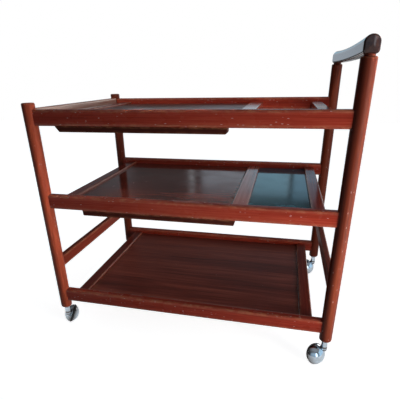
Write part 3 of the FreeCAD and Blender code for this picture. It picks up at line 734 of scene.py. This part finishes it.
def handle_rows(reach):
    """Places along the bar, and how far the section is drawn in at each. Round an end, at the angle a, it moves
    out by e sin(a) and is drawn in by e - e cos(a)."""
    curl = np.linspace(0, np.pi / 2, 8)[1:]
    curled = reach - END_ROUND + END_ROUND * np.sin(curl)
    main = np.linspace(-1, 1, MAIN_ROWS) * (reach - END_ROUND)
    drawn = END_ROUND * (1 - np.cos(curl))
    along = np.concatenate([-curled[::-1], main, curled])
    return along[:, None], np.concatenate([drawn[::-1], np.zeros(MAIN_ROWS), drawn])[:, None]


def handle_rings(half, base, peak, drawn):
    """Outlines of all sections: an arc over the top, straight sides, quarter circles and a flat foot."""
    arch, corner = ARCH_HEIGHT - ROUND_SHRINK * drawn, FOOT_ROUND - ROUND_SHRINK * drawn
    radius = (half ** 2 + arch ** 2) / (2 * arch)
    swing = np.linspace(-1, 1, 25) * np.arcsin(np.minimum(half / radius, 1))
    over = np.dstack([radius * np.sin(swing), peak - radius + radius * np.cos(swing)])
    turn = np.linspace(0, np.pi / 2, 8)
    right = np.dstack([half - corner + corner * np.cos(turn), base + corner - corner * np.sin(turn)])
    left = np.dstack([-half + corner - corner * np.sin(turn), base + corner - corner * np.cos(turn)])
    flat = np.linspace(1, -1, 7)[1:-1]
    under = np.dstack([(half - corner) * flat, np.repeat(base, len(flat), axis=1)])
    return np.concatenate([over, right, under, left], axis=1)


def bulged_end(rim, outward):
    """An end closed by rings that shrink to its middle and bulge by b(1 - s^2), the middle first."""
    shrink = np.array([0.0, 0.25, 0.5, 0.75])[:, None, None]
    centre = rim.mean(axis=0)
    rings = centre + (rim - centre) * shrink
    rings[..., 1] += outward * END_BULGE * (1 - shrink[..., 0] ** 2)
    return rings


def handle_grid(node):
    """Sections carried along Y, whose sizes follow the square of the distance from the middle."""
    low, high, middle = box_of(node)
    reach = (high[1] - low[1]) / 2 - END_BULGE
    along, drawn = handle_rows(reach)
    bow = (along / reach) ** 2
    half = (WAIST_WIDTH + (END_WIDTH - WAIST_WIDTH) * bow) / 2 - drawn
    foot = high[2] - END_HEIGHT - HANDLE_SAG * (1 - bow)
    height = WAIST_HEIGHT + (END_HEIGHT - WAIST_HEIGHT) * bow
    rings = handle_rings(half, foot + drawn, foot + height - drawn, drawn)
    x, z = rings[..., 0] + middle[0], rings[..., 1]
    body = np.dstack([x, np.repeat(along, x.shape[1], axis=1), z, np.full_like(x, HANDLE_RUB)])
    return np.concatenate([bulged_end(body[0], -1), body, bulged_end(body[-1], 1)[::-1]])


piece("handle_bar_skin", [handle_grid("handle_bar")], ["handle_bar"], "cart_frame", handle_wood,
      (1, in_tree(HANDLE_TREE)))
print("handle bar, waist", WAIST_HEIGHT, "and ends", END_HEIGHT, "high")

# %% [markdown]
# ## The caster's profiles
# A ball caster is two domes on a tilted axle. One dome is a fixed hood with a horn that takes the stem; the
# other belongs to the wheel and carries a dark tread beside the gap. Each is a turned profile, given by its
# distance from the axle and its height above the split between the domes.

# %% Caster profiles
BALL_RADIUS, DOME_HEIGHT = 0.027, 0.0205
DOME_RADIUS = (BALL_RADIUS ** 2 + DOME_HEIGHT ** 2) / (2 * DOME_HEIGHT)
DOME_SHIFT = DOME_RADIUS - DOME_HEIGHT
GAP_HALF, TREAD_WIDTH = 0.00075, 0.0055
HOOD_INSET, HOOD_BEAD = 0.0003, 0.0006
CAP_INSET, CAP_BEAD = 0.0005, 0.0004
DOME_ROWS, BEAD_ROWS, TREAD_ROWS = 28, 9, 12
# Where the flat backs of the domes and of the tread have a row of points, as a share of the radius
BACK_SHARE, HUB_SHARE = 0.6, 0.8


def dome_profile(sphere, start):
    """Arc of a sphere from the axle's pole down to a height above the split, where radius = root of
    s^2 - (h + shift)^2. The edge number, a painted shade on the chrome, rises with the cube of the way to the
    rim."""
    swing = np.linspace(0, np.arccos((start + DOME_SHIFT) / sphere), DOME_ROWS)
    rim = np.linspace(0, 1, DOME_ROWS) ** 3
    return np.column_stack([sphere * np.sin(swing), sphere * np.cos(swing) - DOME_SHIFT, rim])


def lipped(dome, bead):
    """A dome with its edge rolled into a small bead, then a flat back to the axle."""
    edge = dome[-1]
    roll = np.linspace(-0.3, np.pi, BEAD_ROWS)
    rolled = np.column_stack([edge[0] - bead + bead * np.cos(roll), edge[1] - bead * np.sin(roll),
                              np.zeros_like(roll)])
    back = np.array([[edge[0] * BACK_SHARE, rolled[-1, 1], 0.0], [0.0, rolled[-1, 1], 0.0]])
    return np.concatenate([dome, rolled, back])


def tread_band():
    """The band of the sphere beside the gap, where radius = root of s^2 - (h + shift)^2, closed by flats to the
    axle."""
    height = np.linspace(GAP_HALF, GAP_HALF + TREAD_WIDTH, TREAD_ROWS)
    radius = np.sqrt(DOME_RADIUS ** 2 - (height + DOME_SHIFT) ** 2)
    band = np.column_stack([radius, height, np.zeros_like(radius)])
    hub = band[[0, -1]] * (HUB_SHARE, 1.0, 1.0)
    axle = band[[0, -1]] * (0.0, 1.0, 1.0)
    return np.concatenate([axle[:1], hub[:1], band, hub[1:], axle[1:]])


hood_profile = lipped(dome_profile(DOME_RADIUS - HOOD_INSET, GAP_HALF + HOOD_BEAD), HOOD_BEAD)
cap_profile = lipped(dome_profile(DOME_RADIUS - CAP_INSET, GAP_HALF + TREAD_WIDTH + CAP_BEAD), CAP_BEAD)
tread_profile = tread_band()
print("domes of radius", round(DOME_RADIUS, 5), "on a ball of radius", BALL_RADIUS)

# %% [markdown]
# ## Four casters
# The horn, the stem's collar and the sleeve's flange stand on the post's axis, so their profiles are given by
# their radius and height above the floor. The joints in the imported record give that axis, the axle's direction
# and the ball's middle, so every caster finds its own place and turn.

# %% Casters
HORN_FOOT, HORN_TOP = 0.033, 0.0636
COLLAR_RADIUS, COLLAR_TOP = 0.0075, 0.0656
STEM_RADIUS, STEM_TOP = 0.004, 0.088
FLANGE_RADIUS, FLANGE_FOOT, FLANGE_TOP = 0.0115, 0.066, 0.068
DOME_AROUND, HORN_AROUND, STEM_AROUND = 96, 48, 40
TO_HOOD, TO_WHEEL = 1, -1


def on_axle(profile, joint, side):
    """A profile spun and laid on a caster's axle, towards the hood or the wheel."""
    grid = spun(profile, DOME_AROUND)
    axis = Vector(joint["axis"]) * side
    turn = np.array(Vector((0, 0, 1)).rotation_difference(axis).to_matrix())
    grid[..., :3] = grid[..., :3] @ turn.T + np.array(joint["pos_m"])
    return grid


horn_profile = eased_profile([
    (0, HORN_FOOT, 0), (0.0062, 0.0332, 0.003), (0.0081, 0.039, 0.003), (0.0078, 0.046, 0.004),
    (0.0070, HORN_TOP, 0.001), (0, HORN_TOP, 0)])
stem_profile = eased_profile([
    (0, HORN_TOP, 0), (COLLAR_RADIUS, HORN_TOP, 0.0005), (COLLAR_RADIUS, COLLAR_TOP, 0.0005),
    (STEM_RADIUS, COLLAR_TOP, 0.0002), (STEM_RADIUS, STEM_TOP, 0.001), (0, STEM_TOP, 0)])
flange_profile = eased_profile([
    (0, FLANGE_FOOT, 0), (0.0088, FLANGE_FOOT, 0.0006), (FLANGE_RADIUS, 0.0668, 0.0006),
    (FLANGE_RADIUS, FLANGE_TOP, 0.0004), (0, 0.0682, 0)])
sleeves = []
for corner in CORNERS:
    swivel, roll = joints[f"{corner}_caster_swivel"], joints[f"{corner}_wheel_roll"]
    post_axis = (swivel["pos_m"][0], swivel["pos_m"][1], 0)
    hood = [on_axle(hood_profile, roll, TO_HOOD), moved(spun(horn_profile, HORN_AROUND), post_axis)]
    piece(f"{corner}_hood_skin", hood, [f"{corner}_caster_hood"], f"{corner}_swivel", chrome)
    stem = [moved(spun(stem_profile, STEM_AROUND), post_axis)]
    piece(f"{corner}_stem_skin", stem, [f"{corner}_caster_stem"], f"{corner}_swivel", chrome)
    cap = [on_axle(cap_profile, roll, TO_WHEEL)]
    piece(f"{corner}_cap_skin", cap, [f"{corner}_caster_cap"], f"{corner}_wheel", chrome)
    tread = [on_axle(tread_profile, roll, TO_WHEEL)]
    piece(f"{corner}_tread_skin", tread, [f"{corner}_caster_tread"], f"{corner}_wheel",
          tread_rubber)
    sleeves.append(moved(spun(flange_profile, HORN_AROUND), post_axis))
piece("caster_sleeves_skin", sleeves, ["caster_sleeves"], "cart_frame", chrome)
print(len(CORNERS), "casters and", len(sleeves), "sleeve flanges")

# %% [markdown]
# ## CAD pieces that stay
# Dowels, screws, axles and wheel discs are hidden or nearly so. Their solids are right as they are and only
# change their finish.

# %% Finishes of the CAD pieces
kept_nodes = {"rail_dowels": raw_dowel, "stretcher_dowels": raw_dowel, "batten_screws": plated_steel}
kept_nodes.update({f"{corner}_caster_axle": plated_steel for corner in CORNERS})
kept_nodes.update({f"{corner}_caster_wheel": wheel_nylon for corner in CORNERS})
for node, finish in kept_nodes.items():
    for holder in frame["nodes"][node].material_slots:
        holder.material = finish
print(len(kept_nodes), "CAD nodes keep their shape")

# %% [markdown]
# ## The floor
# The photograph has a white ground, so the floor glows white to the camera and somewhat less in the cart's own
# shine. It still takes a soft shadow. To all other light it is a plain dark floor, so that it doesn't light the
# cart from below.

# %% Floor
FLOOR_REACH = 5.0
SHINE_GLOW, CAMERA_GLOW = 0.45, 0.88
PALE_FLOOR, DARK_FLOOR = (0.60, 0.60, 0.60, 1.0), (0.10, 0.09, 0.08, 1.0)
floor_corners = [(-FLOOR_REACH, -FLOOR_REACH, 0), (FLOOR_REACH, -FLOOR_REACH, 0),
                 (FLOOR_REACH, FLOOR_REACH, 0), (-FLOOR_REACH, FLOOR_REACH, 0)]
floor_mesh = bpy.data.meshes.new("floor")
floor_mesh.from_pydata(floor_corners, [], [(0, 1, 2, 3)])
floor = bpy.data.objects.new("floor", floor_mesh)
bpy.context.scene.collection.objects.link(floor)

floor_material = bpy.data.materials.new("pale_floor")
floor_material.use_nodes = True
floor_tree = floor_material.node_tree
floor_tree.nodes.clear()
floor_rays = put(floor_tree, "LightPath").outputs
direct = math_of(floor_tree, "MAXIMUM", floor_rays["Is Camera Ray"], floor_rays["Is Transmission Ray"])
bright = math_of(floor_tree, "MAXIMUM", direct, floor_rays["Is Glossy Ray"])
glow_strength = ramp_of(floor_tree, direct, 0.0, 1.0, SHINE_GLOW, CAMERA_GLOW)
glow = put(floor_tree, "Emission", {"Color": WHITE, "Strength": glow_strength}).outputs[0]
shaded = put(floor_tree, "BsdfDiffuse", {"Color": PALE_FLOOR}).outputs[0]
plain = put(floor_tree, "BsdfDiffuse", {"Color": DARK_FLOOR}).outputs[0]
pale = put(floor_tree, "AddShader", {0: glow, 1: shaded}).outputs[0]
floor_surface = put(floor_tree, "MixShader", {0: bright, 1: plain, 2: pale}).outputs[0]
put(floor_tree, "OutputMaterial", {"Surface": floor_surface})
floor_mesh.materials.append(floor_material)
print("floor of", 2 * FLOOR_REACH, "metres")

# %% [markdown]
# ## The room
# What a polished thing reflects matters as much as its own colour. The room is a dim shell with a paler ceiling
# and soft-edged windows: most in the far wall, whose shine lies on the boards and the laminate, one in the wall
# to the right, and two in front, shown to shine alone. A window is a mask over directions: how far a direction
# leans sideways and upwards for each step towards the wall.

# %% One window
window_inputs = [("Direction", "Vector"), ("Facing", "Vector"), ("Side", "Vector"), ("Left", "Float"),
                 ("Right", "Float"), ("Sill", "Float"), ("Head", "Float"), ("Soft", "Float")]
window_group, window_in, window_out = open_group("window_in_wall", window_inputs, ["Mask"])
look = window_in.outputs


def dotted(first, second):
    """Dot product of two directions."""
    return put(window_group, "VectorMath", {0: first, 1: second}, operation="DOT_PRODUCT").outputs["Value"]


def past(value, edge):
    """1 where a value lies past an edge, over a soft step."""
    return ramp_of(window_group, value, math_of(window_group, "SUBTRACT", edge, look["Soft"]),
                   math_of(window_group, "ADD", edge, look["Soft"]))


def short_of(value, edge):
    """1 where a value lies short of an edge."""
    return math_of(window_group, "SUBTRACT", 1.0, past(value, edge))


ahead = dotted(look["Direction"], look["Facing"])
safe = math_of(window_group, "MAXIMUM", ahead, 0.001)
rise = put(window_group, "SeparateXYZ", {0: look["Direction"]}).outputs[2]
sideways = math_of(window_group, "DIVIDE", dotted(look["Direction"], look["Side"]), safe)
upwards = math_of(window_group, "DIVIDE", rise, safe)
mask = math_of(window_group, "GREATER_THAN", ahead, 0.0)
for inside in (past(sideways, look["Left"]), past(upwards, look["Sill"]),
               short_of(sideways, look["Right"]), short_of(upwards, look["Head"])):
    mask = math_of(window_group, "MULTIPLY", mask, inside)
window_group.links.new(mask, window_out.inputs["Mask"])
print("window group with", len(window_group.nodes), "nodes")

# %% [markdown]
# ## Windows in the walls
# Each wall is the direction in which it lies and the direction that counts as sideways. Later windows cover
# earlier ones. The camera sees a white ground behind the cart, and a trace of that white lies in all shine.

# %% Room
FAR_WALL = ((0.0, 1.0, 0.0), (1.0, 0.0, 0.0))
RIGHT_WALL = ((1.0, 0.0, 0.0), (0.0, 1.0, 0.0))
NEAR_WALL = ((0.0, -1.0, 0.0), (1.0, 0.0, 0.0))
DIM_WALL, PALE_CEILING = (0.022, 0.022, 0.024, 1.0), (0.26, 0.27, 0.29, 1.0)
CEILING_RISE, HAZE_SHARE = (0.45, 0.95), 0.06
# Wall, left and right edge, sill and head, softness and colour of each window
WINDOWS = [
    (FAR_WALL, -0.46, -0.22, -0.05, 0.15, 0.03, (0.98, 1.04, 1.12, 1.0)),
    (FAR_WALL, -0.263, -0.249, 0.15, 0.325, 0.003, (0.62, 0.67, 0.72, 1.0)),
    (FAR_WALL, -0.225, 0.024, -0.05, 0.315, 0.008, (0.50, 0.58, 0.67, 1.0)),
    (FAR_WALL, -0.075, 0.024, 0.14, 0.315, 0.008, (0.40, 0.70, 0.88, 1.0)),
    (FAR_WALL, 0.036, 0.42, -0.05, 0.14, 0.006, (0.42, 0.43, 0.44, 1.0)),
    (FAR_WALL, 0.036, 0.42, 0.14, 0.32, 0.006, (0.32, 0.58, 0.78, 1.0)),
    (FAR_WALL, 0.42, 0.90, -0.13, 0.60, 0.03, (3.20, 3.15, 3.10, 1.0)),
    (FAR_WALL, -1.05, -0.45, -0.05, 0.34, 0.03, (0.14, 0.15, 0.17, 1.0)),
    (RIGHT_WALL, -0.7, 0.5, -0.2, 0.9, 0.08, (0.50, 0.70, 0.86, 1.0)),
    (NEAR_WALL, -0.75, 1.10, -0.1, 0.8, 0.30, (0.40, 0.54, 0.66, 1.0)),
    (NEAR_WALL, 0.34, 0.66, -0.1, 0.8, 0.08, (2.40, 2.60, 2.80, 1.0)),
]

world = bpy.data.worlds.new("room")
bpy.context.scene.world = world
world.use_nodes = True
room_tree = world.node_tree
room_tree.nodes.clear()
direction = put(room_tree, "TexCoord").outputs["Generated"]
room_rays = put(room_tree, "LightPath").outputs
to_ceiling = ramp_of(room_tree, put(room_tree, "SeparateXYZ", {0: direction}).outputs[2], *CEILING_RISE)
room = mixed(room_tree, to_ceiling, DIM_WALL, PALE_CEILING)
for wall, left, right, sill, head, soft, colour in WINDOWS:
    wires = {"Direction": direction, "Facing": wall[0], "Side": wall[1], "Left": left, "Right": right,
             "Sill": sill, "Head": head, "Soft": soft}
    opening = put(room_tree, "Group", wires, node_tree=window_group).outputs["Mask"]
    if wall is NEAR_WALL:
        opening = math_of(room_tree, "MULTIPLY", opening, room_rays["Is Glossy Ray"])
    room = mixed(room_tree, opening, room, colour)
ground = put(room_tree, "Background", {"Color": WHITE, "Strength": 1.0}).outputs[0]
lit = put(room_tree, "Background", {"Color": room, "Strength": 1.0}).outputs[0]
haze = math_of(room_tree, "MULTIPLY", room_rays["Is Glossy Ray"], HAZE_SHARE)
through = math_of(room_tree, "MAXIMUM", haze, room_rays["Is Transmission Ray"])
white_share = math_of(room_tree, "MAXIMUM", room_rays["Is Camera Ray"], through)
room_surface = put(room_tree, "MixShader", {0: white_share, 1: lit, 2: ground}).outputs[0]
put(room_tree, "OutputWorld", {"Surface": room_surface})
print("room with", len(WINDOWS), "windows")

# %% [markdown]
# ## Lamps
# The lamps light the wood itself, and are hidden from the shine, which the windows give. The main light comes
# from the right and the front, with two lamps close to the front right post, so that the rails darken towards
# the left. A narrow beam from the right reaches the front left post, another lies on the top back rail, and a
# wide lamp behind keeps the back from going black.

# %% Lamps
LAMP_COLOUR = (1.0, 0.98, 0.95)


def soft_lamp(name, place, aim, size, watts, spread=180):
    """A soft lamp: a glowing rectangle aimed at a point, its beam held to an angle in degrees."""
    light = bpy.data.lights.new(name, "AREA")
    light.shape = "RECTANGLE"
    light.size, light.size_y = size
    light.energy = watts
    light.color = LAMP_COLOUR
    light.spread = math.radians(spread)
    lamp = bpy.data.objects.new(name, light)
    bpy.context.scene.collection.objects.link(lamp)
    lamp.location = place
    lamp.rotation_euler = (Vector(aim) - Vector(place)).to_track_quat("-Z", "Y").to_euler()
    lamp.visible_camera = False
    lamp.visible_glossy = False
    return lamp


lamps = [
    soft_lamp("high_window", (2.2, -0.3, 1.6), (-0.50, -0.3, 0.27), size=(0.3, 0.3), watts=0.55, spread=10),
    soft_lamp("front_window", (2.0, -1.4, 1.2), (0.0, -0.2, 0.4), size=(0.8, 0.8), watts=3.5),
    soft_lamp("near_window", (0.78, -0.54, 0.42), (0.34, -0.24, 0.46), size=(0.35, 0.6), watts=1.25, spread=70),
    soft_lamp("long_window", (0.2, -1.1, 1.5), (0.0, 0.25, 0.60), size=(0.9, 0.1), watts=0.14, spread=8),
    soft_lamp("low_window", (0.95, -0.62, 0.10), (0.30, -0.24, 0.15), size=(0.35, 0.3), watts=1.0, spread=60),
    soft_lamp("far_window", (-2.2, 1.6, 1.0), (0.0, 0.0, 0.4), size=(1.0, 1.0), watts=5),
]
print(len(lamps), "soft lamps")

# %% [markdown]
# ## Colours as written
# The Standard view keeps colours as the finishes state them.

# %% Finish
bpy.context.scene.view_settings.view_transform = "Standard"
